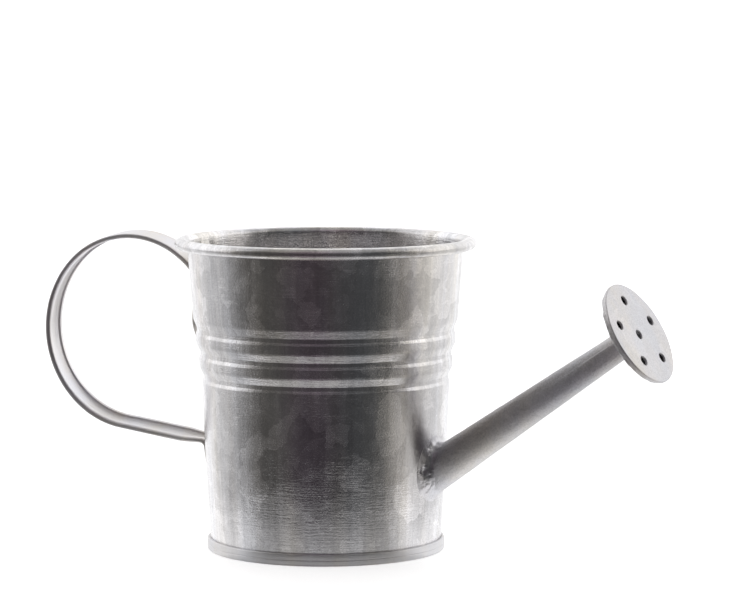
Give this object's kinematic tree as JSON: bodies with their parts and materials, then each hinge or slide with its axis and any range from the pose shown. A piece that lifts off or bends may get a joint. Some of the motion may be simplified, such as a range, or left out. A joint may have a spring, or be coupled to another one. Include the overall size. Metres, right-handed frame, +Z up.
{
  "type": "watering can",
  "caption": "Miniature galvanised watering can: tapered open cup with a rolled rim and swaged grooves, strap loop handle and slanting spout with a perforated rose.",
  "frame": {"origin": "on the can's axis, on the surface that the base ring stands on", "axes": "+Z up along the can's axis; +X out over the spout, the handle is at -X; +Y across"},
  "size_m": [0.171, 0.076, 0.0787],
  "materials": {
    "can_wall": "bright galvanised sheet with faint spangle",
    "can_base": "dull galvanised sheet",
    "handle": "satin galvanised strap",
    "weld": "dull weld spot",
    "spout": "dull grey dipped sheet",
    "solder": "lumpy dull solder",
    "rose_back": "dull grey sheet",
    "rose_front": "pale matt galvanised sheet"
  },
  "bodies": {
    "root": {"body_wall": "can_wall", "base_pan": "can_base", "handle_strap": "handle", "handle_weld_upper": "weld", "handle_weld_lower": "weld", "spout_tube": "spout", "spout_root_solder": "solder", "rose_dish": "rose_back", "rose_face": "rose_front", "rose_solder": "solder"}
  },
  "joints": []
}
